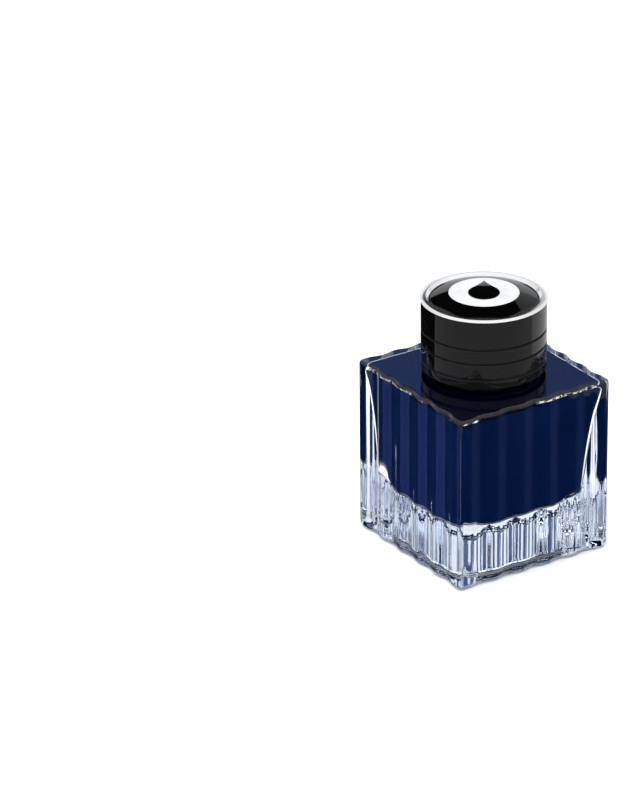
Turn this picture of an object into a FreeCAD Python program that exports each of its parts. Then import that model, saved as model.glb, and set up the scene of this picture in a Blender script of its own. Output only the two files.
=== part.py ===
"""Square fluted ink bottle with a screw cap.

Millimetres, +Z up. The origin is the centre of the bottle's base, on the surface that it stands on.
Each function makes one separate piece, and main() writes them as one STEP file each.
"""
import FreeCAD
import Part
import math
import os

# Glass body
body_width = 48.4
body_height = 49.5
corner_radius = 1.4
top_edge_radius = 1.0
base_edge_radius = 1.9

# Flutes: a smooth wave down each side, with valleys between the ridges
valleys_per_side = 5
flute_pitch = 8.4
flute_depth = 0.7

# Recess in the underside, which leaves a flat band to stand on
recess_depth = 0.9
recess_half_width = 17.0
recess_corner_radius = 6.0
recess_edge_radius = 0.8

# Ink chamber: a rounded square that narrows downwards over a thick base
chamber_floor = 15.0
chamber_ceiling = 47.3
floor_half_width = 20.5
ceiling_half_width = 22.5
floor_corner_radius = 12.0
ceiling_corner_radius = 1.5
floor_round = 3.5
ceiling_round = 1.2
ink_level = 48.9

# Neck
neck_radius = 12.4
bore_radius = 10.3
rim_height = 62.3
neck_root_radius = 1.2
rim_outer_radius = 0.7
rim_inner_radius = 0.5

# Screw thread, right hand
thread_pitch = 25.4 / 6
thread_turns = 1.5
thread_depth = 1.0
thread_root_width = 1.9
thread_crest_width = 1.0
thread_embed = 0.3
thread_start_height = 54.1
thread_flank_gap = 0.15
thread_radial_gap = 0.25

# Cap shell
cap_radius = 16.75
cap_wall = 1.7
cap_bottom = 50.9
cap_height = 70.9
cap_edge_radius = 0.5
deck_top = 68.0
deck_bottom = 66.0
groove_heights = (62.35, 58.25, 53.8)
groove_depth = 0.5
groove_width = 0.56

# Trim ring: a little wider than the shell that it sits on
ring_radius = 17.0
ring_band_height = 0.55
ring_top_width = 1.6
ring_bevel_width = 0.85
ring_bevel_depth = 0.8
ring_leg_outer = 15.6
ring_edge_radius = 0.4

# Threaded insert and its liner
insert_bottom = 51.5
insert_ceiling = 63.8
insert_body_radius = 14.65
crush_rib_count = 12
crush_rib_width = 0.9
fit_gap = 0.02
liner_thickness = 1.45

# Top disc: a low dome that springs from a little below the ring's top
dome_rise = 2.05
dome_radius = 40.0
dome_edge_radius = 0.5

# Emblem: a white roundel with an ink drop left open in it, let into the dome
emblem_radius = 9.4
emblem_edge_thickness = 0.6
drop_length = 12.4
drop_round_radius = 4.2
drop_side_radius = 12.0
emblem_turn = 55.0

axis_point = FreeCAD.Vector(0, 0, 0)
up = FreeCAD.Vector(0, 0, 1)


def rounded_square(half, radius, z):
    """Wire of a square with round corners, level at height z."""
    inner = half - radius
    diagonal = inner + radius / math.sqrt(2)
    edges = []
    for turn in range(0, 360, 90):
        rotation = FreeCAD.Rotation(up, turn)
        points = [FreeCAD.Vector(half, -inner, z), FreeCAD.Vector(half, inner, z),
                  FreeCAD.Vector(diagonal, diagonal, z), FreeCAD.Vector(inner, half, z)]
        side_start, arc_start, arc_middle, arc_end = [rotation.multVec(point) for point in points]
        edges.append(Part.LineSegment(side_start, arc_start).toShape())
        edges.append(Part.Arc(arc_start, arc_middle, arc_end).toShape())
    return Part.Wire(edges)


def solid_of_revolution(points):
    """Closed outline of (radius, height) points turned once round the axis."""
    corners = [FreeCAD.Vector(r, 0, z) for r, z in points]
    outline = Part.makePolygon(corners + corners[:1])
    return Part.Face(outline).revolve(axis_point, up, 360)


def cylinder(radius, bottom, top):
    return Part.makeCylinder(radius, top - bottom, FreeCAD.Vector(0, 0, bottom))


def level_edges(shape, z, keep=lambda edge: True):
    """Edges that lie wholly at height z."""
    found = []
    for edge in shape.Edges:
        box = edge.BoundBox
        if abs(box.ZMin - z) < 1e-4 and abs(box.ZMax - z) < 1e-4 and keep(edge):
            found.append(edge)
    return found


def fluted_side(edges, turn):
    """One wavy side of the body's outline, along +Y at x = half, then turned about the axis."""
    half = body_width / 2
    quarter_wave = flute_pitch / 4
    rotation = FreeCAD.Rotation(up, turn)
    last_ridge = valleys_per_side * flute_pitch / 2
    corner_start = half - corner_radius

    def add_line(start, end):
        edges.append(Part.LineSegment(rotation.multVec(start), rotation.multVec(end)).toShape())

    def add_arc(y_start, y_end, x_start, x_middle, x_end):
        points = [FreeCAD.Vector(x_start, y_start, 0),
                  FreeCAD.Vector(x_middle, (y_start + y_end) / 2, 0),
                  FreeCAD.Vector(x_end, y_end, 0)]
        edges.append(Part.Arc(*[rotation.multVec(point) for point in points]).toShape())

    middle = half - flute_depth / 2
    valley = half - flute_depth
    half_ridge_sag = ridge_sag(quarter_wave / 2)
    add_line(FreeCAD.Vector(half, -corner_start, 0), FreeCAD.Vector(half, -last_ridge, 0))
    add_arc(-last_ridge, -last_ridge + quarter_wave, half, half - half_ridge_sag, middle)
    for index in range(valleys_per_side):
        y = -last_ridge + quarter_wave + index * flute_pitch
        add_arc(y, y + 2 * quarter_wave, middle, valley, middle)
        if index < valleys_per_side - 1:
            add_arc(y + 2 * quarter_wave, y + 4 * quarter_wave, middle, half, middle)
    add_arc(last_ridge - quarter_wave, last_ridge, middle, half - half_ridge_sag, half)
    add_line(FreeCAD.Vector(half, last_ridge, 0), FreeCAD.Vector(half, corner_start, 0))


def ridge_sag(offset):
    """How far the ridge's arc has dropped at this distance from its crest."""
    quarter_wave = flute_pitch / 4
    arc_radius = (quarter_wave ** 2 + (flute_depth / 2) ** 2) / flute_depth
    return arc_radius - math.sqrt(arc_radius ** 2 - offset ** 2)


def fluted_block():
    """The body's outside: wavy sides, round corners, and rounded top and base edges."""
    edges = []
    for turn in range(0, 360, 90):
        fluted_side(edges, turn)
        inner = body_width / 2 - corner_radius
        rotation = FreeCAD.Rotation(up, turn)
        centre = FreeCAD.Vector(inner, inner, 0)
        diagonal = corner_radius / math.sqrt(2)
        points = [centre + FreeCAD.Vector(corner_radius, 0, 0),
                  centre + FreeCAD.Vector(diagonal, diagonal, 0),
                  centre + FreeCAD.Vector(0, corner_radius, 0)]
        edges.append(Part.Arc(*[rotation.multVec(point) for point in points]).toShape())
    block = Part.Face(Part.Wire(Part.__sortEdges__(edges))).extrude(up * body_height)
    block = block.makeFillet(top_edge_radius, level_edges(block, body_height))
    return block.makeFillet(base_edge_radius, level_edges(block, 0))


def chamber():
    """The space that holds the ink, without the neck's bore."""
    floor = rounded_square(floor_half_width, floor_corner_radius, chamber_floor)
    ceiling = rounded_square(ceiling_half_width, ceiling_corner_radius, chamber_ceiling)
    space = Part.makeLoft([floor, ceiling], True, True)
    space = space.makeFillet(floor_round, level_edges(space, chamber_floor))
    return space.makeFillet(ceiling_round, level_edges(space, chamber_ceiling))


def base_recess():
    outline = rounded_square(recess_half_width, recess_corner_radius, -1)
    recess = Part.Face(outline).extrude(up * (1 + recess_depth))
    return recess.makeFillet(recess_edge_radius, level_edges(recess, recess_depth))


def thread_ridge(root_radius, crest_radius, start_height):
    """A helical ridge of trapezoid section. Its root lies thread_embed inside the wall."""
    outward = 1 if crest_radius > root_radius else -1
    root = root_radius - outward * thread_embed
    slope = (thread_root_width - thread_crest_width) / 2 / abs(crest_radius - root_radius)
    half_root = thread_root_width / 2 + slope * thread_embed
    half_crest = thread_crest_width / 2
    corners = [FreeCAD.Vector(root, 0, start_height - half_root),
               FreeCAD.Vector(crest_radius, 0, start_height - half_crest),
               FreeCAD.Vector(crest_radius, 0, start_height + half_crest),
               FreeCAD.Vector(root, 0, start_height + half_root)]
    section = Part.makePolygon(corners + corners[:1])
    path = Part.makeHelix(thread_pitch, thread_pitch * thread_turns, root_radius)
    path.translate(FreeCAD.Vector(0, 0, start_height))
    return Part.Wire(path.Edges).makePipeShell([section], True, True)


def neck():
    """The neck's outside, rim and thread, sunk into the shoulder."""
    blank = cylinder(neck_radius, chamber_ceiling, rim_height)
    blank = blank.makeFillet(rim_outer_radius, level_edges(blank, rim_height))
    return blank.fuse(thread_ridge(neck_radius, neck_radius + thread_depth, thread_start_height))


def glass_bottle():
    bottle = fluted_block().fuse(neck())
    root = level_edges(bottle, body_height, lambda edge: edge.BoundBox.XMax < neck_radius + 1)
    bottle = bottle.makeFillet(neck_root_radius, root)
    bottle = bottle.cut(chamber()).cut(cylinder(bore_radius, chamber_ceiling - 1, rim_height + 1))
    mouth = level_edges(bottle, rim_height, lambda edge: edge.BoundBox.XMax < bore_radius + 0.1)
    bottle = bottle.makeFillet(rim_inner_radius, mouth)
    return bottle.cut(base_recess())


def ink_fill():
    column = cylinder(bore_radius, chamber_ceiling - 1, ink_level)
    return chamber().fuse(column)


def cap_shell():
    """Outer cap: skirt with turned grooves, and a deck that carries the insert below and the disc above."""
    inner = cap_radius - cap_wall
    ring_seat = cap_height - ring_band_height
    outline = [(0, deck_bottom), (inner, deck_bottom), (inner, cap_bottom), (cap_radius, cap_bottom)]
    for height in reversed(groove_heights):
        low = height - groove_width / 2
        high = height + groove_width / 2
        outline += [(cap_radius, low), (cap_radius - groove_depth, low),
                    (cap_radius - groove_depth, high), (cap_radius, high)]
    outline += [(cap_radius, ring_seat), (ring_leg_outer, ring_seat), (ring_leg_outer, deck_top),
                (0, deck_top)]
    shell = solid_of_revolution(outline)
    return shell.makeFillet(cap_edge_radius, level_edges(shell, cap_bottom))


def trim_ring():
    """Bright ring: a band on the shell's rim, a flat top, an inner bevel, and a leg down to the deck."""
    ring_seat = cap_height - ring_band_height
    top_inner = ring_radius - ring_top_width
    bevel_inner = top_inner - ring_bevel_width
    ring = solid_of_revolution([(bevel_inner, deck_top), (ring_leg_outer, deck_top),
                                (ring_leg_outer, ring_seat), (ring_radius, ring_seat),
                                (ring_radius, cap_height), (top_inner, cap_height),
                                (bevel_inner, cap_height - ring_bevel_depth)])
    outer = level_edges(ring, cap_height, lambda edge: edge.BoundBox.XMax > ring_radius - 0.1)
    return ring.makeFillet(ring_edge_radius, outer)


def drop_outline(z, grow):
    """Ink-drop outline, round end at -Y and tip at +Y, grown all round by a small gap."""
    radius = drop_round_radius + grow
    reach = drop_length - drop_round_radius + grow
    side = drop_side_radius - grow
    centre_y = drop_round_radius - drop_length / 2
    lift = math.asin((2 * side * radius + radius ** 2 + reach ** 2) / (2 * (side + radius) * reach))
    side_x = (side + radius) * math.cos(lift)
    side_y = (side + radius) * math.sin(lift)
    angle_to_tip = math.atan2(reach - side_y, -side_x) % (2 * math.pi)
    middle_angle = (angle_to_tip + lift + math.pi) / 2
    middle_x = side_x + side * math.cos(middle_angle)
    middle_y = centre_y + side_y + side * math.sin(middle_angle)
    touch_y = centre_y + radius * math.sin(lift)
    right = FreeCAD.Vector(radius * math.cos(lift), touch_y, z)
    left = FreeCAD.Vector(-radius * math.cos(lift), touch_y, z)
    tip = FreeCAD.Vector(0, centre_y + reach, z)
    round_end = Part.Arc(right, FreeCAD.Vector(0, centre_y - radius, z), left)
    left_side = Part.Arc(left, FreeCAD.Vector(-middle_x, middle_y, z), tip)
    right_side = Part.Arc(tip, FreeCAD.Vector(middle_x, middle_y, z), right)
    outline = Part.Wire([round_end.toShape(), left_side.toShape(), right_side.toShape()])
    outline.rotate(axis_point, up, emblem_turn)
    return outline


def dome_sphere():
    return Part.makeSphere(dome_radius, FreeCAD.Vector(0, 0, cap_height + dome_rise - dome_radius))


def emblem(gap):
    """The roundel with its open drop, level below and domed above. With a gap it is the roundel's pocket."""
    crown = cap_height + dome_rise
    edge_drop = dome_radius - math.sqrt(dome_radius ** 2 - emblem_radius ** 2)
    bottom = crown - edge_drop - emblem_edge_thickness - gap
    roundel = cylinder(emblem_radius + gap, bottom, crown + 1)
    drop = Part.Face(drop_outline(bottom - 1, -gap)).extrude(up * (crown + 3 - bottom))
    return roundel.cut(drop).common(dome_sphere())


def emblem_inlay():
    return emblem(0)


def top_disc():
    radius = ring_radius - ring_top_width - ring_bevel_width - fit_gap
    disc = cylinder(radius, deck_top, cap_height + dome_rise + 1).common(dome_sphere())
    edge_drop = dome_radius - math.sqrt(dome_radius ** 2 - radius ** 2)
    disc = disc.makeFillet(dome_edge_radius, level_edges(disc, cap_height + dome_rise - edge_drop))
    return disc.cut(emblem(fit_gap))


def threaded_insert():
    """Inner cap: a cup with the female thread inside and crush ribs outside."""
    thread_wall = neck_radius + thread_depth + thread_radial_gap
    crest = neck_radius + thread_radial_gap
    cup = cylinder(insert_body_radius, insert_bottom, deck_bottom)
    for index in range(crush_rib_count):
        rib = Part.makeBox(2, crush_rib_width, deck_bottom - insert_bottom,
                           FreeCAD.Vector(insert_body_radius - 1, -crush_rib_width / 2, insert_bottom))
        rib.rotate(axis_point, up, 360 * index / crush_rib_count)
        cup = cup.fuse(rib)
    cup = cup.common(cylinder(cap_radius - cap_wall - fit_gap, insert_bottom, deck_bottom))
    cup = cup.cut(cylinder(thread_wall, insert_bottom - 1, insert_ceiling))
    flank_shift = thread_root_width / 2 + thread_crest_width / 2 + thread_flank_gap
    start = thread_start_height - flank_shift
    ridge = thread_ridge(thread_wall, crest, start)
    return cup.fuse(ridge)


def sealing_liner():
    radius = neck_radius + thread_depth
    return cylinder(radius, rim_height, rim_height + liner_thickness)


def main():
    os.makedirs("parts", exist_ok=True)
    makers = (glass_bottle, ink_fill, sealing_liner, threaded_insert, cap_shell, top_disc, emblem_inlay,
              trim_ring)
    for maker in makers:
        shape = maker()
        solids = shape.Solids
        if len(solids) == 1:
            shape = solids[0]
        if not shape.isValid():
            raise RuntimeError(maker.__name__ + " is not a valid shape")
        shape.exportStep("parts/" + maker.__name__ + ".step")
        print(maker.__name__, len(solids), "solid", round(shape.Volume / 1000, 3), "cm3")


main()
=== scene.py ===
"""Looks of the square fluted ink bottle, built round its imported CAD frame. Metres, +Z up."""
import math

import bmesh
import bpy
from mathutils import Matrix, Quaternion, Vector

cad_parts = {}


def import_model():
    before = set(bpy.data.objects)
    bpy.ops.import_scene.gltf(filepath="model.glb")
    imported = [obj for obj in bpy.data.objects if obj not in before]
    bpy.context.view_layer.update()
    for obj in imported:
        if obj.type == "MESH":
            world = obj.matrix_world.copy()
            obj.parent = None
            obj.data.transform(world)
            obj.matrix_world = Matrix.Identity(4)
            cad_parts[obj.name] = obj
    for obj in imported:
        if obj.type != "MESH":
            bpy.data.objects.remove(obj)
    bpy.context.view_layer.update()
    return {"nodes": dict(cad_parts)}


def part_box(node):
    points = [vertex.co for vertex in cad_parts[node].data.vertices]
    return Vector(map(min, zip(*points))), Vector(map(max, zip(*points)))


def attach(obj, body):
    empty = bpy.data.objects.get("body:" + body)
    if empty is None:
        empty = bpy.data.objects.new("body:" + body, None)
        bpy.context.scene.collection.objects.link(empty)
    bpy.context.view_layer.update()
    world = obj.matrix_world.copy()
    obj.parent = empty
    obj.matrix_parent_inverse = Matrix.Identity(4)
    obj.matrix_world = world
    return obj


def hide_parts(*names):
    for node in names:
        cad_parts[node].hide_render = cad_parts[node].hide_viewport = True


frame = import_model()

MM = 0.001
scene = bpy.context.scene

# Sizes that the frame gives
bottle_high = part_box("glass_bottle")[1]
ink_low, ink_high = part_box("ink_fill")
shell_low, shell_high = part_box("cap_shell")
ring_low, ring_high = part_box("trim_ring")
disc_low, disc_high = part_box("top_disc")
emblem_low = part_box("emblem_inlay")[0]
body_half = bottle_high.x
rim_height = bottle_high.z
chamber_floor = ink_low.z
ink_level = ink_high.z
cap_radius = shell_high.x
cap_bottom = shell_low.z
cap_top = ring_high.z
ring_radius = ring_high.x
deck_top = ring_low.z
disc_radius = disc_high.x
disc_top = disc_high.z

# Glass sizes that its box doesn't give
shoulder = 49.5 * MM
corner_radius = 1.4 * MM
top_edge_radius = 1.0 * MM
base_edge_radius = 1.9 * MM
valleys_per_side = 5
flute_pitch = 8.4 * MM
flute_depth = 0.7 * MM
recess_depth = 0.9 * MM
recess_half = 17.0 * MM
recess_corner = 6.0 * MM
recess_edge = 0.8 * MM
recess_lip = 0.08 * MM
chamber_ceiling = 47.3 * MM
floor_half = 20.5 * MM
ceiling_half = 22.5 * MM
floor_corner = 12.0 * MM
ceiling_corner = 1.5 * MM
floor_round = 3.5 * MM
ceiling_round = 1.2 * MM
neck_radius = 12.4 * MM
neck_root = 1.2 * MM
bore_radius = 10.3 * MM
bore_root = 0.8 * MM
rim_outer = 0.7 * MM
rim_inner = 0.5 * MM
thread_pitch = 25.4 * MM / 6
thread_depth = 1.0 * MM
thread_turns = 1.5
thread_start = 54.1 * MM
thread_half_width = 0.95 * MM
thread_fade = 0.5         # radians that each end of the thread takes to fade out
thread_flank, thread_round = 2.1, 0.8   # how steeply its sides rise, and how round its crest is
support = 0.1 * MM        # a ring this far beyond each rounded edge keeps the flats flat to look at
flute_steps = 28          # points along one flute
corner_steps = 12
neck_steps = 64

# Ink sizes: it reaches a hair into the glass, and stands lower in the middle of the neck than at its wall
ink_grow = 0.04 * MM
ink_steps = 480
meniscus_drop = 0.02 * MM
meniscus_depth = 0.5 * MM
meniscus_width = 1.6 * MM

# Cap sizes that its boxes don't give
cap_wall = 1.7 * MM
deck_thickness = 2.0 * MM
groove_heights = (53.8 * MM, 58.25 * MM, 62.35 * MM)
groove_half_width = 0.28 * MM
groove_depth = 0.5 * MM
ring_band = 0.55 * MM
ring_top_width = 1.6 * MM
ring_bevel_depth = 0.8 * MM
ring_crown = 0.95 * MM    # how far inside the rim the slope of its top ends
ring_lip = 0.06 * MM
ring_chamfer = 0.04 * MM
ring_bulge = 0.11 * MM
ring_bulge_out, ring_bulge_up = 0.39, 0.92
ring_steps = 8
ring_leg = 15.6 * MM
fit_gap = 0.02 * MM
dome_radius = 40.0 * MM
dome_edge = 0.5 * MM
emblem_radius = 9.4 * MM
drop_length = 12.4 * MM
drop_round = 4.2 * MM
drop_side = 12.0 * MM
drop_turn = math.radians(55.0)
emblem_ease = 0.1 * MM


# ---------------------------------------------------------------- outlines

def wave_depth(along):
    """Depth of the flutes this far from the middle of a side: tangent arcs, valley and ridge alike."""
    quarter = flute_pitch / 4
    arc = (quarter ** 2 + (flute_depth / 2) ** 2) / flute_depth
    if abs(along) >= valleys_per_side * flute_pitch / 2:
        return 0.0
    place = (along + flute_pitch / 2) % flute_pitch - flute_pitch / 2
    if abs(place) <= quarter:
        return flute_depth - (arc - math.sqrt(arc ** 2 - place ** 2))
    return arc - math.sqrt(arc ** 2 - (flute_pitch / 2 - abs(place)) ** 2)


def fluted_outline():
    """Points and outward normals once round the fluted body, from the middle of the +X side."""
    step = flute_pitch / flute_steps
    inner = body_half - corner_radius
    count = round(inner / step)
    side = [inner * i / count for i in range(-count, count + 1)]
    points = []
    for quarter in range(4):
        turn = quarter * math.pi / 2
        local = [Vector((body_half - wave_depth(y), y)) for y in side]
        for i in range(1, corner_steps):
            a = math.pi / 2 * i / corner_steps
            local.append(Vector((inner + corner_radius * math.cos(a), inner + corner_radius * math.sin(a))))
        for p in local:
            points.append(Vector((p.x * math.cos(turn) - p.y * math.sin(turn),
                                  p.x * math.sin(turn) + p.y * math.cos(turn))))
    normals = []
    for i, p in enumerate(points):
        along = points[(i + 1) % len(points)] - points[i - 1]
        normals.append(Vector((along.y, -along.x)).normalized())
    return points, normals


def square_reach(angle, half, corner):
    """Distance from the centre to a rounded square's outline in this direction."""
    folded = (angle + math.pi / 4) % (math.pi / 2) - math.pi / 4
    c, s = math.cos(folded), abs(math.sin(folded))
    inner = half - corner
    if s / c * half <= inner:
        return half / c
    along = inner * (c + s)
    return along + math.sqrt(max(along ** 2 - 2 * inner ** 2 + corner ** 2, 0))


def arc_steps(count):
    """(1 - cos, sin) pairs that take a rounded edge from one side to the other."""
    turns = [math.pi / 2 * i / count for i in range(count + 1)]
    return [(1 - math.cos(a), math.sin(a)) for a in turns]


# ---------------------------------------------------------------- mesh helpers

def mesh_piece(name, verts, faces, smooth_angle=None):
    """A smooth-shaded object, with its edges above smooth_angle degrees kept sharp."""
    mesh = bpy.data.meshes.new(name)
    mesh.from_pydata([tuple(v) for v in verts], [], faces)
    mesh.validate()
    build = bmesh.new()
    build.from_mesh(mesh)
    bmesh.ops.recalc_face_normals(build, faces=build.faces)
    build.to_mesh(mesh)
    build.free()
    piece = bpy.data.objects.new(name, mesh)
    scene.collection.objects.link(piece)
    mesh.shade_smooth()
    if smooth_angle is not None:
        mesh.set_sharp_from_angle(angle=math.radians(smooth_angle))
    return piece


def skin_rings(rings, closed_ends=(True, True)):
    """Vertices and faces of a tube through rings of equal count. An end is closed by a fan to its centre."""
    verts = [p for ring in rings for p in ring]
    count = len(rings[0])
    faces = []
    for k in range(len(rings) - 1):
        for i in range(count):
            j = (i + 1) % count
            faces.append((k * count + i, k * count + j, (k + 1) * count + j, (k + 1) * count + i))
    for end, ring in enumerate((rings[0], rings[-1])):
        if not closed_ends[end]:
            continue
        centre = sum(ring, Vector()) / count
        verts.append(centre)
        base = 0 if end == 0 else (len(rings) - 1) * count
        for i in range(count):
            faces.append((base + i, base + (i + 1) % count, len(verts) - 1))
    return verts, faces


def lathe(name, profile, segments=256, smooth_angle=32):
    """A closed outline of (radius, height) points turned round Z. A point at radius 0 is one vertex."""
    verts, faces, starts = [], [], []
    turns = [2 * math.pi * i / segments for i in range(segments)]
    for r, z in profile:
        starts.append((len(verts), r < 1e-9))
        if r < 1e-9:
            verts.append(Vector((0, 0, z)))
        else:
            verts += [Vector((r * math.cos(a), r * math.sin(a), z)) for a in turns]
    for k in range(len(profile)):
        (a, a_point), (b, b_point) = starts[k], starts[(k + 1) % len(profile)]
        if a_point and b_point:
            continue
        for i in range(segments):
            j = (i + 1) % segments
            if a_point:
                faces.append((a, b + j, b + i))
            elif b_point:
                faces.append((a + i, a + j, b))
            else:
                faces.append((a + i, a + j, b + j, b + i))
    return mesh_piece(name, verts, faces, smooth_angle)


def rounded_profile(corners, steps=6):
    """Turns (radius, height, rounding) corners into an outline with arcs in place of the corners."""
    outline = []
    count = len(corners)
    for i, (r, z, rounding) in enumerate(corners):
        here = Vector((r, z))
        if rounding <= 0:
            outline.append((r, z))
            continue
        before = Vector(corners[i - 1][:2]) - here
        after = Vector(corners[(i + 1) % count][:2]) - here
        u, v = before.normalized(), after.normalized()
        half_angle = u.angle(v) / 2
        reach = rounding / math.tan(half_angle)
        centre = here + (u + v).normalized() * (rounding / math.sin(half_angle))
        start, end = here + u * reach, here + v * reach
        ease = min(0.05 * MM, reach)
        outline.append(tuple(start + u * ease))
        a0 = math.atan2(start.y - centre.y, start.x - centre.x)
        a1 = math.atan2(end.y - centre.y, end.x - centre.x)
        sweep = (a1 - a0 + math.pi) % (2 * math.pi) - math.pi
        for k in range(steps + 1):
            a = a0 + sweep * k / steps
            outline.append((centre.x + rounding * math.cos(a), centre.y + rounding * math.sin(a)))
        outline.append(tuple(end + v * ease))
    return outline


# ---------------------------------------------------------------- materials

GLASS_IOR = 1.5
GLASS_TINT = (0.70, 0.83, 1.0, 1)
INK_IOR = 1.34
INK_DEEP = (0.0008, 0.0082, 0.050)
INK_CLEAR = (0.0022, 0.0125, 0.070)
# Painted shade: the much darker blue that the ink's upward faces are mixed towards
INK_PAINTED_SHADE_UPWARD = (0.0001, 0.0010, 0.0130)
CAP_BLACK = (0.0013, 0.0011, 0.0012)
DISC_BLACK = (0.0006, 0.0006, 0.0007)


def new_material(name):
    material = bpy.data.materials.new(name)
    material.use_nodes = True
    nodes = material.node_tree.nodes
    return material, nodes, material.node_tree.links, nodes["Principled BSDF"]


def add_noise(nodes, links, scale, detail, stretch=(1, 1, 1)):
    """Noise texture in the object's own coordinates."""
    coords = nodes.new("ShaderNodeTexCoord")
    mapping = nodes.new("ShaderNodeMapping")
    mapping.inputs["Scale"].default_value = stretch
    texture = nodes.new("ShaderNodeTexNoise")
    texture.inputs["Scale"].default_value = scale
    texture.inputs["Detail"].default_value = detail
    links.new(coords.outputs["Object"], mapping.inputs["Vector"])
    links.new(mapping.outputs["Vector"], texture.inputs["Vector"])
    return texture.outputs["Fac"]


def add_bump(nodes, links, height, shader, strength, distance):
    """Bump on a shader's normal. Distance is in metres."""
    bump = nodes.new("ShaderNodeBump")
    bump.inputs["Strength"].default_value = strength
    bump.inputs["Distance"].default_value = distance
    links.new(height, bump.inputs["Height"])
    links.new(bump.outputs["Normal"], shader.inputs["Normal"])


def colour_ramp(nodes, links, factor, stops, interpolation="LINEAR"):
    """Colour from a ramp through (position, colour) stops."""
    ramp = nodes.new("ShaderNodeValToRGB")
    ramp.color_ramp.interpolation = interpolation
    first, last = ramp.color_ramp.elements
    first.position, last.position = stops[0][0], stops[-1][0]
    first.color, last.color = (*stops[0][1], 1), (*stops[-1][1], 1)
    for position, colour in stops[1:-1]:
        ramp.color_ramp.elements.new(position).color = (*colour, 1)
    links.new(factor, ramp.inputs["Fac"])
    return ramp.outputs["Color"]


def map_range(nodes, links, value, **limits):
    """Value spread from one range to another. Limits that aren't given stay 0 and 1."""
    spread = nodes.new("ShaderNodeMapRange")
    for limit, number in limits.items():
        spread.inputs[limit.replace("_", " ").title()].default_value = number
    links.new(value, spread.inputs["Value"])
    return spread.outputs["Result"]


def mix_colours(nodes, links, factor, first, second):
    """Mix of two colours, each either a fixed tone or another node's output."""
    mix = nodes.new("ShaderNodeMix")
    mix.data_type = "RGBA"
    links.new(factor, mix.inputs[0])
    for socket, colour in ((mix.inputs[6], first), (mix.inputs[7], second)):
        if isinstance(colour, tuple):
            socket.default_value = (*colour, 1)
        else:
            links.new(colour, socket)
    return mix.outputs[2]


def math_node(nodes, links, operation, *values, clamp=False):
    """Math node whose inputs are numbers or other nodes' outputs."""
    node = nodes.new("ShaderNodeMath")
    node.operation = operation
    node.use_clamp = clamp
    for socket, value in zip(node.inputs, values):
        if isinstance(value, (int, float)):
            socket.default_value = value
        else:
            links.new(value, socket)
    return node.outputs[0]


def glass_material():
    """Clear pressed glass with a faint blue body and the faint upright draw lines of the mould."""
    material, nodes, links, shader = new_material("clear_glass")
    shader.inputs["Base Color"].default_value = (1, 1, 1, 1)
    shader.inputs["Roughness"].default_value = 0.0
    shader.inputs["IOR"].default_value = GLASS_IOR
    shader.inputs["Transmission Weight"].default_value = 1.0
    lines = add_noise(nodes, links, 900, 2.0, (1, 1, 0.04))
    add_bump(nodes, links, lines, shader, 0.35, 0.00004)
    body = nodes.new("ShaderNodeVolumeAbsorption")
    body.inputs["Color"].default_value = GLASS_TINT
    body.inputs["Density"].default_value = 9.0
    links.new(body.outputs["Volume"], nodes["Material Output"].inputs["Volume"])
    return material


def ink_material():
    """Dense dark blue ink, a little uneven where the dye has settled, with painted shade that darkens the
    faces which look up.

    At low angles the glass mirrors against it. Mirroring below 5 percent is left out.
    """
    material, nodes, links, shader = new_material("blue_ink")
    cloud = add_noise(nodes, links, 60, 3.0)
    cloudy = colour_ramp(nodes, links, cloud, [(0.3, INK_DEEP), (0.75, INK_CLEAR)])
    facing = nodes.new("ShaderNodeNewGeometry")
    split = nodes.new("ShaderNodeSeparateXYZ")
    links.new(facing.outputs["Normal"], split.inputs["Vector"])
    # Painted shade: faces that look up are mixed towards a much darker blue, as if less light reached them
    painted_shade_upward = map_range(nodes, links, split.outputs["Z"], from_min=0.6, from_max=0.95)
    links.new(mix_colours(nodes, links, painted_shade_upward, cloudy, INK_PAINTED_SHADE_UPWARD), shader.inputs["Base Color"])
    shader.inputs["Roughness"].default_value = 0.12
    shader.inputs["IOR"].default_value = INK_IOR
    shader.inputs["Specular IOR Level"].default_value = 0.0
    interface = nodes.new("ShaderNodeFresnel")
    interface.inputs["IOR"].default_value = INK_IOR / GLASS_IOR
    mirror = nodes.new("ShaderNodeBsdfAnisotropic")
    mirror.inputs["Roughness"].default_value = 0.0
    mirror.inputs["Color"].default_value = (1, 1, 1, 1)
    both = nodes.new("ShaderNodeMixShader")
    links.new(map_range(nodes, links, interface.outputs["Fac"], from_min=0.05), both.inputs[0])
    links.new(shader.outputs["BSDF"], both.inputs[1])
    links.new(mirror.outputs["BSDF"], both.inputs[2])
    links.new(both.outputs["Shader"], nodes["Material Output"].inputs["Surface"])
    return material


def gloss_black_material(name, base, roughness_low, roughness_high, scale, specular=0.5):
    """Polished black resin or lacquer with faint polishing marks."""
    material, nodes, links, shader = new_material(name)
    speck = add_noise(nodes, links, scale, 5.0)
    dark = tuple(c * 0.8 for c in base)
    light = tuple(c * 1.2 for c in base)
    links.new(colour_ramp(nodes, links, speck, [(0.3, dark), (0.7, light)]), shader.inputs["Base Color"])
    links.new(map_range(nodes, links, speck, to_min=roughness_low, to_max=roughness_high),
              shader.inputs["Roughness"])
    shader.inputs["Specular IOR Level"].default_value = specular
    ripple = add_noise(nodes, links, scale * 0.35, 2.0)
    add_bump(nodes, links, ripple, shader, 0.12, 0.00004)
    return material


def ring_material():
    """Bright polished metal with a fine turned grain."""
    material, nodes, links, shader = new_material("ring_chrome")
    grain = add_noise(nodes, links, 1200, 3.0, (0.06, 0.06, 1))
    tone = colour_ramp(nodes, links, grain, [(0.3, (0.90, 0.90, 0.91)), (0.7, (0.97, 0.97, 0.97))])
    links.new(tone, shader.inputs["Base Color"])
    links.new(map_range(nodes, links, grain, to_min=0.14, to_max=0.22), shader.inputs["Roughness"])
    shader.inputs["Metallic"].default_value = 1.0
    add_bump(nodes, links, grain, shader, 0.08, 0.00002)
    return material


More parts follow.
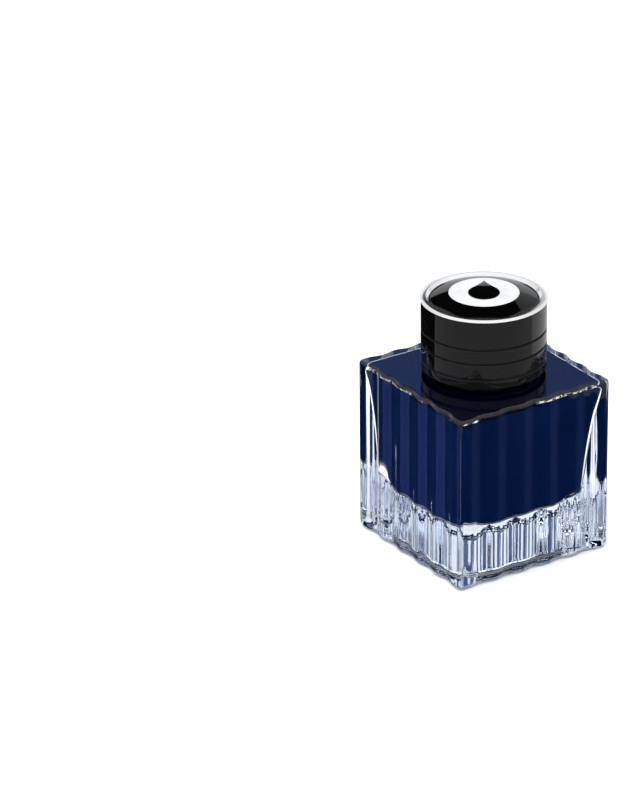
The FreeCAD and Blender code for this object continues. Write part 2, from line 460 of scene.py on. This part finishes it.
def inlay_material():
    """White resin inlay, very slightly mottled."""
    material, nodes, links, shader = new_material("emblem_white")
    mottle = add_noise(nodes, links, 350, 3.0)
    tone = colour_ramp(nodes, links, mottle, [(0.3, (0.50, 0.50, 0.50)), (0.7, (0.57, 0.57, 0.57))])
    links.new(tone, shader.inputs["Base Color"])
    shader.inputs["Roughness"].default_value = 0.22
    add_bump(nodes, links, mottle, shader, 0.06, 0.00003)
    return material


def insert_material():
    """Black moulded polypropylene with a fine spark-eroded texture."""
    material, nodes, links, shader = new_material("insert_plastic")
    grain = add_noise(nodes, links, 2200, 4.0)
    tone = colour_ramp(nodes, links, grain, [(0.3, (0.018, 0.018, 0.019)), (0.7, (0.034, 0.034, 0.036))])
    links.new(tone, shader.inputs["Base Color"])
    links.new(map_range(nodes, links, grain, to_min=0.38, to_max=0.55), shader.inputs["Roughness"])
    add_bump(nodes, links, grain, shader, 0.25, 0.00003)
    return material


def liner_material():
    """Foamed polyethylene, off-white with a fine closed-cell texture."""
    material, nodes, links, shader = new_material("liner_foam")
    coords = nodes.new("ShaderNodeTexCoord")
    cells = nodes.new("ShaderNodeTexVoronoi")
    cells.inputs["Scale"].default_value = 2600
    links.new(coords.outputs["Object"], cells.inputs["Vector"])
    tone = colour_ramp(nodes, links, cells.outputs["Distance"],
                       [(0.1, (0.82, 0.82, 0.80)), (0.8, (0.66, 0.66, 0.64))])
    links.new(tone, shader.inputs["Base Color"])
    shader.inputs["Roughness"].default_value = 0.7
    add_bump(nodes, links, cells.outputs["Distance"], shader, 0.4, 0.00006)
    return material


# ---------------------------------------------------------------- pieces

def chamber_rings(angles, grow):
    """Rings of the ink chamber's wall, from its floor to its ceiling, each point pushed out by grow."""
    def taper(z):
        return min(max((z - chamber_floor) / (chamber_ceiling - chamber_floor), 0), 1)

    levels = [(chamber_floor + floor_round * c, floor_round * (1 - s)) for c, s in arc_steps(10)]
    straight_start = chamber_floor + floor_round
    straight_end = chamber_ceiling - ceiling_round
    levels += [(straight_start + (straight_end - straight_start) * i / 12, 0) for i in range(1, 12)]
    levels += [(chamber_ceiling - ceiling_round * (1 - s), ceiling_round * c) for c, s in arc_steps(10)]
    rings = []
    for z, inset in levels:
        half = floor_half + (ceiling_half - floor_half) * taper(z) - inset
        corner = max(floor_corner + (ceiling_corner - floor_corner) * taper(z) - inset, 0.3 * MM)
        lift = grow * (1 if z > (chamber_floor + chamber_ceiling) / 2 else -1) * (1 if inset else 0)
        reaches = [square_reach(a, half, corner) + grow for a in angles]
        rings.append([Vector((math.cos(a) * r, math.sin(a) * r, z + lift)) for a, r in zip(angles, reaches)])
    return rings


def circle_ring(angles, radius, z):
    return [Vector((radius * math.cos(a), radius * math.sin(a), z)) for a in angles]


def thread_height(angle, z):
    """How far the neck's thread stands out here: a rounded ridge that fades in and out at its ends."""
    best = 0.0
    total = 2 * math.pi * thread_turns
    for turn in range(int(thread_turns) + 1):
        swept = angle % (2 * math.pi) + 2 * math.pi * turn
        if swept > total:
            continue
        fade = min(1, swept / thread_fade, (total - swept) / thread_fade)
        centre = thread_start + thread_pitch * swept / (2 * math.pi)
        off = abs(z - centre) / thread_half_width
        if off < 1:
            best = max(best, thread_depth * fade * min(1, (1 - off) * thread_flank) ** thread_round)
    return best


def glass_body():
    """The whole pressed bottle as one closed skin: recess, fluted sides, shoulder, neck, bore and chamber."""
    outline, normals = fluted_outline()
    angles = [math.atan2(p.y, p.x) for p in outline]

    def fluted_ring(inset, z):
        return [Vector((p.x - n.x * inset, p.y - n.y * inset, z)) for p, n in zip(outline, normals)]

    def square_ring(half, corner, z):
        return [Vector((math.cos(a) * square_reach(a, half, corner),
                        math.sin(a) * square_reach(a, half, corner), z)) for a in angles]

    rings = [square_ring(recess_half * t, recess_corner * t, recess_depth) for t in (0.25, 0.5, 0.75)]
    rings += [square_ring(recess_half - recess_edge * (1 - s), recess_corner - recess_edge * (1 - s),
                          recess_depth - recess_edge * c) for c, s in arc_steps(6)]
    rings += [square_ring(recess_half + recess_lip * c, recess_corner + recess_lip * c, recess_lip * (1 - s))
              for c, s in arc_steps(3)]
    rings += [square_ring(recess_half + recess_lip + support, recess_corner + recess_lip + support, 0)]
    rings += [fluted_ring(base_edge_radius + extra, 0) for extra in (1.0 * MM, support)]
    rings += [fluted_ring(base_edge_radius * (1 - s), base_edge_radius * c) for c, s in arc_steps(8)]
    low, high = base_edge_radius + support, shoulder - top_edge_radius - support
    rings += [fluted_ring(0, low + (high - low) * i / 16) for i in range(17)]
    rings += [fluted_ring(top_edge_radius * c, shoulder - top_edge_radius * (1 - s))
              for c, s in arc_steps(8)]
    start = fluted_ring(top_edge_radius + support, shoulder)
    end = circle_ring(angles, neck_radius + neck_root + support, shoulder)
    rings += [[s.lerp(e, t) for s, e in zip(start, end)] for t in (0, 0.1, 0.4, 0.7, 1)]
    rings += [circle_ring(angles, neck_radius + neck_root * (1 - s), shoulder + neck_root * c)
              for c, s in arc_steps(6)]
    low, high = shoulder + neck_root, rim_height - rim_outer
    for i in range(1, neck_steps):
        z = low + (high - low) * i / neck_steps
        reaches = [neck_radius + thread_height(a, z) for a in angles]
        rings.append([Vector((r * math.cos(a), r * math.sin(a), z)) for a, r in zip(angles, reaches)])
    rings += [circle_ring(angles, neck_radius - rim_outer * c, high + rim_outer * s) for c, s in arc_steps(6)]
    rings += [circle_ring(angles, bore_radius + rim_inner * (1 - s), rim_height - rim_inner * c)
              for c, s in arc_steps(6)]
    bore_high, bore_low = rim_height - rim_inner, chamber_ceiling + bore_root
    rings += [circle_ring(angles, bore_radius, bore_high - (bore_high - bore_low) * i / 8)
              for i in range(1, 9)]
    rings += [circle_ring(angles, bore_radius + bore_root * c, bore_low - bore_root * s)
              for c, s in arc_steps(4)][1:]
    chamber = chamber_rings(angles, 0)
    rings += [[a.lerp(b, t) for a, b in zip(rings[-1], chamber[-1])] for t in (0.3, 0.7)]
    rings += list(reversed(chamber))
    floor_ring = chamber[0]
    rings += [[Vector((p.x * t, p.y * t, p.z)) for p in floor_ring] for t in (0.75, 0.5, 0.25)]
    piece = mesh_piece("bottle_glass", *skin_rings(rings))
    piece.data.materials.append(glass_material())
    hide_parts("glass_bottle")
    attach(piece, "bottle")


def ink_body():
    """The ink. It reaches a hair into the glass, so that no air shows between them."""
    angles = [2 * math.pi * i / ink_steps for i in range(ink_steps)]
    bore = bore_radius + ink_grow
    chamber = chamber_rings(angles, ink_grow)
    rings = [[Vector((p.x * t, p.y * t, p.z)) for p in chamber[0]] for t in (0.25, 0.5, 0.75)] + chamber
    ceiling = rings[-1][0].z
    edge = circle_ring(angles, bore + bore_root, ceiling)
    rings += [[a.lerp(b, 0.5) for a, b in zip(rings[-1], edge)], edge]
    rings += [circle_ring(angles, bore + bore_root * (1 - s), ceiling + bore_root * c)
              for c, s in arc_steps(4)][1:]
    surface = ink_level - meniscus_drop
    rings += [circle_ring(angles, bore, surface)]
    for t in (0.2, 0.4, 0.6, 0.8, 1.0):
        dip = meniscus_depth * (1 - (1 - t) ** 2)
        rings.append(circle_ring(angles, bore_radius - meniscus_width * t, surface - dip))
    rings += [circle_ring(angles, bore_radius * t, surface - meniscus_depth) for t in (0.6, 0.3)]
    piece = mesh_piece("ink", *skin_rings(rings))
    piece.data.materials.append(ink_material())
    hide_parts("ink_fill")
    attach(piece, "bottle")


def cap_shell():
    """Outer cap: a turned skirt with three grooves, closed by the deck that the disc lies on."""
    seat = cap_top - ring_band
    inner = cap_radius - cap_wall
    deck_bottom = deck_top - deck_thickness
    corners = [(0, deck_bottom, 0), (inner, deck_bottom, 0.4 * MM), (inner, cap_bottom, 0.3 * MM),
               (cap_radius, cap_bottom, 0.5 * MM)]
    for height in groove_heights:
        low, high = height - groove_half_width, height + groove_half_width
        corners += [(cap_radius, low, 0.1 * MM), (cap_radius - groove_depth, low, 0.05 * MM),
                    (cap_radius - groove_depth, high, 0.05 * MM), (cap_radius, high, 0.1 * MM)]
    corners += [(cap_radius, seat, 0.12 * MM), (ring_leg, seat, 0), (ring_leg, deck_top, 0), (0, deck_top, 0)]
    piece = lathe("cap_outer", rounded_profile(corners))
    piece.data.materials.append(gloss_black_material("cap_gloss_black", CAP_BLACK, 0.04, 0.10, 500))
    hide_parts("cap_shell")
    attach(piece, "cap")


def trim_ring():
    """Bright ring on the shell's rim. Its top slopes down outwards, and a bevel leads in to the disc."""
    seat = cap_top - ring_band
    top_inner = ring_radius - ring_top_width
    bevel_inner = disc_radius + fit_gap
    crown = ring_radius - ring_crown
    low = seat + ring_lip
    outline = [(bevel_inner, deck_top), (ring_leg, deck_top), (ring_leg, seat),
               (ring_radius - ring_chamfer, seat)]
    for i in range(ring_steps + 1):
        t = i / ring_steps
        bulge = ring_bulge * t * (1 - t)
        outline.append((ring_radius + (crown - ring_radius) * t + ring_bulge_out * bulge,
                        low + (cap_top - low) * t + ring_bulge_up * bulge))
    outline += [(top_inner, cap_top), (top_inner - ring_lip, cap_top - ring_lip),
                (bevel_inner, cap_top - ring_bevel_depth)]
    piece = lathe("ring_bright", outline)
    piece.data.materials.append(ring_material())
    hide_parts("trim_ring")
    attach(piece, "cap")


def drop_points(grow, steps=56):
    """Outline of the ink drop, anticlockwise from its tip: hollow side, round end, hollow side."""
    radius = drop_round + grow
    reach = drop_length - drop_round + grow
    side = drop_side - grow
    centre_y = drop_round - drop_length / 2
    lift = math.asin((2 * side * radius + radius ** 2 + reach ** 2) / (2 * (side + radius) * reach))
    side_x = (side + radius) * math.cos(lift)
    side_y = (side + radius) * math.sin(lift)
    a_tip = math.atan2(reach - side_y, -side_x) % (2 * math.pi)
    a_touch = lift + math.pi
    right = []
    for i in range(steps):
        a = a_touch + (a_tip - a_touch) * i / steps
        right.append(Vector((side_x + side * math.cos(a), centre_y + side_y + side * math.sin(a))))
    left = [Vector((-p.x, p.y)) for p in reversed(right)]
    tip = [Vector((0, centre_y + reach))]
    sweep = math.pi + 2 * lift
    bottom = []
    for i in range(1, 2 * steps):
        a = math.pi - lift + sweep * i / (2 * steps)
        bottom.append(Vector((radius * math.cos(a), centre_y + radius * math.sin(a))))
    flat = tip + left + bottom + right
    c, s = math.cos(drop_turn), math.sin(drop_turn)
    return [Vector((p.x * c - p.y * s, p.x * s + p.y * c, 0)) for p in flat]


def on_dome(point, lower=0.0):
    """The same point moved up or down to the dome's surface, or to this far below it."""
    height = disc_top - dome_radius + math.sqrt(dome_radius ** 2 - point.x ** 2 - point.y ** 2)
    return Vector((point.x, point.y, height - lower))


def spread(start, end, steps):
    """Rings between two rings of equal count, each laid on the dome."""
    return [[on_dome(a.lerp(b, i / steps)) for a, b in zip(start, end)] for i in range(1, steps)]


def emblem():
    """White roundel with an ink drop left open in it. Its top follows the dome and its edges are eased."""
    ease = emblem_ease
    inner = drop_points(0)
    angles = [math.atan2(p.y, p.x) for p in inner]

    def outer_ring(inset, lower):
        return [on_dome(p, lower) for p in circle_ring(angles, emblem_radius - inset, 0)]

    def inner_ring(inset, lower):
        return [on_dome(p, lower) for p in drop_points(inset)]

    rings = [[Vector((p.x, p.y, emblem_low.z)) for p in inner], inner_ring(0, ease),
             inner_ring(ease * 0.3, ease * 0.3), inner_ring(ease, 0)]
    rings += spread(rings[-1], outer_ring(ease, 0), 12)
    rings += [outer_ring(ease, 0), outer_ring(ease * 0.3, ease * 0.3), outer_ring(0, ease),
              [Vector((p.x, p.y, emblem_low.z)) for p in outer_ring(0, 0)]]
    verts, faces = skin_rings(rings, (False, False))
    count, last = len(inner), (len(rings) - 1) * len(inner)
    faces += [(last + i, last + (i + 1) % count, (i + 1) % count, i) for i in range(count)]
    piece = mesh_piece("emblem_roundel", verts, faces, 35)
    piece.data.materials.append(inlay_material())
    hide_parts("emblem_inlay")
    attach(piece, "cap")


def top_disc():
    """Gloss black dome with the roundel's pocket and, in the middle of it, the drop that shows black."""
    island = drop_points(-fit_gap)
    angles = [math.atan2(p.y, p.x) for p in island]
    floor_height = emblem_low.z - fit_gap
    wall = circle_ring(angles, emblem_radius + fit_gap, 0)
    rings = [[on_dome(p * t) for p in island] for t in (0.2, 0.4, 0.6, 0.8, 1)]
    rings += [[Vector((p.x, p.y, floor_height)) for p in ring] for ring in (island, wall)]
    centre_height = disc_top - dome_radius
    tilt = math.asin((disc_radius - dome_edge) / (dome_radius - dome_edge))
    middle = Vector((disc_radius - dome_edge, centre_height + (dome_radius - dome_edge) * math.cos(tilt)))
    edge_start = circle_ring(angles, middle.x + dome_edge * math.sin(tilt), 0)
    rings += [[on_dome(p) for p in wall]] + spread(wall, edge_start, 10)
    edge_steps = 16
    for i in range(edge_steps + 1):
        a = tilt + (math.pi / 2 - tilt) * i / edge_steps
        rings.append(circle_ring(angles, middle.x + dome_edge * math.sin(a),
                                 middle.y + dome_edge * math.cos(a)))
    rings.append(circle_ring(angles, disc_radius, disc_low.z))
    piece = mesh_piece("disc_black", *skin_rings(rings), 35)
    piece.data.materials.append(gloss_black_material("disc_gloss_black", DISC_BLACK, 0.03, 0.07, 300, 0.3))
    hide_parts("top_disc")
    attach(piece, "cap")


def keep_cad_node(name, material):
    """Gives a CAD node that stays as it is a better material."""
    node = frame["nodes"][name]
    node.data.materials.clear()
    node.data.materials.append(material)


glass_body()
ink_body()
cap_shell()
trim_ring()
top_disc()
emblem()
keep_cad_node("threaded_insert", insert_material())
keep_cad_node("sealing_liner", liner_material())


# ---------------------------------------------------------------- stage, lights and camera

FLOOR_REACH = 6.0
FLOOR_HEIGHT = -0.00005


def floor():
    material, nodes, links, shader = new_material("floor_pale")
    grain = add_noise(nodes, links, 40, 3.0)
    tone = colour_ramp(nodes, links, grain, [(0.3, (0.90, 0.90, 0.90)), (0.7, (0.93, 0.93, 0.93))])
    links.new(tone, shader.inputs["Base Color"])
    shader.inputs["Roughness"].default_value = 0.9
    corners = ((-FLOOR_REACH, -FLOOR_REACH), (FLOOR_REACH, -FLOOR_REACH),
               (FLOOR_REACH, FLOOR_REACH), (-FLOOR_REACH, FLOOR_REACH))
    plane = mesh_piece("floor", [Vector((x, y, FLOOR_HEIGHT)) for x, y in corners], [(0, 1, 2, 3)])
    plane.data.materials.append(material)
    plane.visible_glossy = False


def at_turn(degrees):
    """Where a radial gradient stands at this many degrees from +X."""
    return degrees / 360 + 0.5


# What outer surfaces mirror below the horizon, by degrees turned from +X: a dark table with blue patches
TABLE_DARK = (0.02, 0.05, 0.16)
TABLE_BLUE = (0.19, 0.30, 1.0)
TABLE_FAINT = (0.08, 0.13, 0.36)
TABLE_EDGE = (0.9, 1.15, 1.6)
TABLE_STEPS = ((-180, TABLE_DARK), (-138, TABLE_BLUE), (-80, TABLE_DARK), (-66, TABLE_EDGE),
               (-40, TABLE_DARK), (44, TABLE_FAINT), (80, TABLE_DARK), (180, TABLE_DARK))

# What they mirror above it. Heights run from 0, straight down, to 1, straight up, with the horizon at 0.5.
LOW_MIRROR = (0.85, 0.87, 0.9)
MID_MIRROR = (0.14, 0.23, 0.62)
HIGH_MIRROR = (1.0, 1.0, 1.0)
FRONT_SKY = ((0.0, LOW_MIRROR), (0.5, LOW_MIRROR), (1.0, HIGH_MIRROR))
BEHIND_SKY = ((0.0, LOW_MIRROR), (0.68, LOW_MIRROR), (0.695, MID_MIRROR), (0.75, MID_MIRROR),
              (0.79, HIGH_MIRROR), (1.0, HIGH_MIRROR))
BEHIND_START, BEHIND_END = 80.0, 215.0   # degrees from +X between which the sky is the one behind
BEHIND_FADE = 0.02
TABLE_TOP, SKY_START = 0.43, 0.45

# What shows through the glass: a white studio with narrow upright dark panels all round. The panels are
# where a cosine round the horizon is high, and fade in between these two heights of it.
PANEL_FADE = (0.05, 0.45)
OPEN_WHITE = (0.95, 0.97, 1.0)
PANEL_TONE = (0.07, 0.10, 0.21)
PANEL_COUNT = 10
PANEL_START = 163.0

# The light that the ink scatters comes mostly from one side. Its tones are those of the studio opposite that
# side, across from it and towards it.
INK_LAMP_DIRECTION = (0.88, 0.38, 0.28)
INK_LIGHT = ((0.02, 0.02, 0.03), (0.10, 0.11, 0.12), (1.50, 1.50, 1.45))
INK_LIGHT_OVERHEAD = (0.02, 0.02, 0.03)
OVERHEAD_FADE = (0.6, 0.8)


def world():
    """The camera sees white. Each other kind of ray has its own surroundings, all fixed in the scene.

    Outer surfaces mirror a dark table under a pale sky, dark panels show through the glass, and the ink is
    lit from one side.
    """
    made = bpy.data.worlds.new("studio")
    scene.world = made
    made.use_nodes = True
    nodes, links = made.node_tree.nodes, made.node_tree.links
    background = nodes["Background"]
    coords = nodes.new("ShaderNodeTexCoord")
    split = nodes.new("ShaderNodeSeparateXYZ")
    links.new(coords.outputs["Generated"], split.inputs["Vector"])
    rise = map_range(nodes, links, split.outputs["Z"], from_min=-1.0)
    turn = nodes.new("ShaderNodeTexGradient")
    turn.gradient_type = "RADIAL"
    links.new(coords.outputs["Generated"], turn.inputs["Vector"])
    black, white = (0, 0, 0), (1, 1, 1)

    def fade(factor, limits):
        return colour_ramp(nodes, links, factor, list(zip(limits, (black, white))))

    table = colour_ramp(nodes, links, turn.outputs["Fac"],
                        [(at_turn(degrees), tone) for degrees, tone in TABLE_STEPS], "CONSTANT")
    behind_sky = colour_ramp(nodes, links, rise, BEHIND_SKY)
    front_sky = colour_ramp(nodes, links, rise, FRONT_SKY)
    start, wrap = at_turn(BEHIND_START), at_turn(BEHIND_END - 360)
    behind = colour_ramp(nodes, links, turn.outputs["Fac"],
                         [(0.0, white), (wrap, white), (wrap + BEHIND_FADE, black),
                          (start - BEHIND_FADE, black), (start, white), (1.0, white)])
    sky = mix_colours(nodes, links, behind, front_sky, behind_sky)
    mirrored = mix_colours(nodes, links, fade(rise, (TABLE_TOP, SKY_START)), table, sky)

    waves = 2 * math.pi * PANEL_COUNT
    phase = math_node(nodes, links, "MULTIPLY_ADD", turn.outputs["Fac"], waves,
                      math.pi - waves * at_turn(PANEL_START))
    panels = fade(math_node(nodes, links, "COSINE", phase), PANEL_FADE)
    through_glass = mix_colours(nodes, links, panels, OPEN_WHITE, PANEL_TONE)

    toward = nodes.new("ShaderNodeVectorMath")
    toward.operation = "DOT_PRODUCT"
    toward.inputs[1].default_value = INK_LAMP_DIRECTION
    links.new(coords.outputs["Generated"], toward.inputs[0])
    facing = map_range(nodes, links, toward.outputs["Value"], from_min=-1.0)
    ink_light = colour_ramp(nodes, links, facing, list(zip((0.0, 0.5, 1.0), INK_LIGHT)))

    path = nodes.new("ShaderNodeLightPath")
    scattered = math_node(nodes, links, "GREATER_THAN", path.outputs["Diffuse Depth"], 0.5)
    on_ink = mix_colours(nodes, links, fade(rise, OVERHEAD_FADE), ink_light, INK_LIGHT_OVERHEAD)
    inside = mix_colours(nodes, links, scattered, through_glass, on_ink)
    seen = mix_colours(nodes, links, path.outputs["Is Transmission Ray"], OPEN_WHITE, inside)
    from_outside = math_node(nodes, links, "SUBTRACT", path.outputs["Is Glossy Ray"],
                             path.outputs["Is Transmission Ray"], clamp=True)
    links.new(mix_colours(nodes, links, from_outside, seen, mirrored), background.inputs["Color"])
    background.inputs["Strength"].default_value = 1.0


LAMP_AZIMUTH, LAMP_ELEVATION = 20, 75
LAMP_DISTANCE = 1.2
LAMP_SIZE = 1.2
LAMP_POWER = 18
LAMP_AIM_HEIGHT = 0.04


def towards(azimuth, elevation):
    """Unit vector from the bottle to where a lamp or camera stands. Azimuth 0 is the -Y side."""
    a, e = math.radians(azimuth), math.radians(elevation)
    return Vector((math.sin(a) * math.cos(e), -math.cos(a) * math.cos(e), math.sin(e)))


def key_light():
    """Large soft lamp overhead, which no surface mirrors."""
    light = bpy.data.lights.new("key_top", "AREA")
    light.shape = "RECTANGLE"
    light.size = light.size_y = LAMP_SIZE
    light.energy = LAMP_POWER
    lamp = bpy.data.objects.new("key_top", light)
    scene.collection.objects.link(lamp)
    back = towards(LAMP_AZIMUTH, LAMP_ELEVATION)
    lamp.location = Vector((0, 0, LAMP_AIM_HEIGHT)) + back * LAMP_DISTANCE
    lamp.rotation_mode = "QUATERNION"
    lamp.rotation_quaternion = back.to_track_quat("Z", "Y")
    lamp.visible_glossy = False


CAMERA_AZIMUTH = 55.0
CAMERA_ELEVATION = 25.45
CAMERA_ROLL = 0.37
CAMERA_DISTANCE = 1.3370
CAMERA_LENS = 225.0
SENSOR_SIZE = 36.0
PICTURE_ASPECT = 640 / 800
AIM_HEIGHT = 0.0300
AIM_RIGHT = 0.5097   # where the bottle's middle sits across the picture, in half widths from its centre
AIM_DOWN = 0.0883    # and how far below the picture's middle, in half heights


def camera():
    """Long lens. It looks past the bottle, which stands right of the picture's middle."""
    data = bpy.data.cameras.new("camera")
    data.lens = CAMERA_LENS
    data.sensor_width = SENSOR_SIZE
    data.clip_start, data.clip_end = 0.05, 50.0
    eye = bpy.data.objects.new("camera", data)
    scene.collection.objects.link(eye)
    back = towards(CAMERA_AZIMUTH, CAMERA_ELEVATION)
    eye.location = Vector((0, 0, AIM_HEIGHT)) + back * CAMERA_DISTANCE
    half_height = SENSOR_SIZE / 2 / CAMERA_LENS
    pan = math.atan(AIM_RIGHT * half_height * PICTURE_ASPECT)
    tilt = math.atan(AIM_DOWN * half_height)
    eye.rotation_mode = "QUATERNION"
    look = back.to_track_quat("Z", "Y")
    eye.rotation_quaternion = (look @ Quaternion((0, 0, 1), math.radians(CAMERA_ROLL))
                               @ Quaternion((0, 1, 0), pan) @ Quaternion((1, 0, 0), tilt))
    scene.camera = eye


def glowing_card(name, verts, faces, colour):
    """A studio card that only mirroring surfaces see, in one tone or in (degrees, tone) steps round Z."""
    card = mesh_piece(name, verts, faces)
    material = bpy.data.materials.new(name)
    material.use_nodes = True
    nodes, links = material.node_tree.nodes, material.node_tree.links
    nodes.remove(nodes["Principled BSDF"])
    glow = nodes.new("ShaderNodeEmission")
    links.new(glow.outputs["Emission"], nodes["Material Output"].inputs["Surface"])
    if isinstance(colour[0], tuple):
        coords = nodes.new("ShaderNodeTexCoord")
        turn = nodes.new("ShaderNodeTexGradient")
        turn.gradient_type = "RADIAL"
        links.new(coords.outputs["Object"], turn.inputs["Vector"])
        steps = colour_ramp(nodes, links, turn.outputs["Color"],
                            [(at_turn(degrees), tone) for degrees, tone in colour], "CONSTANT")
        links.new(steps, glow.inputs["Color"])
    else:
        glow.inputs["Color"].default_value = (*colour, 1)
    card.data.materials.append(material)
    card.visible_camera = False
    card.visible_diffuse = False
    card.visible_transmission = False
    card.visible_volume_scatter = False
    card.visible_shadow = False


# The table top that the cap mirrors: a ring round the bottle, with a wider hole between the side's two angles
TOP_NEAR, TOP_NEAR_SIDE, TOP_FAR = 128 * MM, 133 * MM, 0.6
TOP_HEIGHT = -0.1 * MM
TOP_COUNT = 96
SIDE_START, SIDE_END = 58, 150
TOP_STEPS = ((-180, (0.008, 0.008, 0.008)), (-131, (0.48, 0.46, 0.47)), (SIDE_START, (0.85, 0.84, 0.85)),
             (SIDE_END, (0.008, 0.008, 0.008)))


def mirrored_table():
    """Ring of table top for the cap's skirt. At the camera's angle the glass mirrors only its dark hole."""
    turns = [2 * math.pi * i / TOP_COUNT for i in range(TOP_COUNT)]
    side_start, side_end = math.radians(SIDE_START), math.radians(SIDE_END)
    near = [TOP_NEAR_SIDE if side_start < a < side_end else TOP_NEAR for a in turns]
    rings = [[Vector((r * math.cos(a), r * math.sin(a), TOP_HEIGHT)) for r, a in zip(near, turns)],
             circle_ring(turns, TOP_FAR, TOP_HEIGHT)]
    verts, faces = skin_rings(rings, (False, False))
    glowing_card("mirrored_table", verts, faces, TOP_STEPS)


# The upright cards behind the cap, in mm: how far back, how wide each way, how far the white wings reach, and
# how high. The grey card fills the lower right corner of the black one, below a slanting edge.
CARD_BACK = 70
CARD_WIDE, WING_WIDE = 47, 150
CARD_LOW, CARD_HIGH = 96, 245
SLANT = ((9, CARD_LOW), (33.5, 137), (CARD_WIDE, 159.6))


def mirrored_cards():
    """Upright cards behind the cap: black and grey ones for the dome, and white wings for the ring."""
    behind = math.radians(CAMERA_AZIMUTH + 90)
    back = Vector((math.cos(behind), math.sin(behind), 0))
    right = Vector((math.sin(behind), -math.cos(behind), 0))

    def upright(outline):
        return [back * (CARD_BACK * MM) + right * (x * MM) + Vector((0, 0, z * MM)) for x, z in outline]

    low, middle, high = SLANT
    black = upright(((-CARD_WIDE, CARD_LOW), low, middle, high,
                     (CARD_WIDE, CARD_HIGH), (-CARD_WIDE, CARD_HIGH)))
    grey = upright((low, (CARD_WIDE, CARD_LOW), high, middle))
    wing_corners = ((CARD_WIDE, CARD_LOW), (WING_WIDE, CARD_LOW),
                    (WING_WIDE, CARD_HIGH), (CARD_WIDE, CARD_HIGH))
    for side in (-1, 1):
        wing = upright([(side * x, z) for x, z in wing_corners])
        glowing_card("white_card", wing, [(0, 1, 2, 3)], (0.85, 0.85, 0.85))
    glowing_card("black_card", black, [(0, 1, 2, 3, 4, 5)], (0.01, 0.01, 0.01))
    glowing_card("grey_card", grey, [(0, 1, 2, 3)], (0.5, 0.5, 0.5))


floor()
world()
mirrored_table()
mirrored_cards()
key_light()
camera()

scene.view_settings.view_transform = "Standard"
scene.cycles.max_bounces = 24
scene.cycles.transmission_bounces = 24
scene.cycles.glossy_bounces = 12
scene.cycles.transparent_max_bounces = 16
scene.cycles.caustics_refractive = True
scene.cycles.caustics_reflective = False
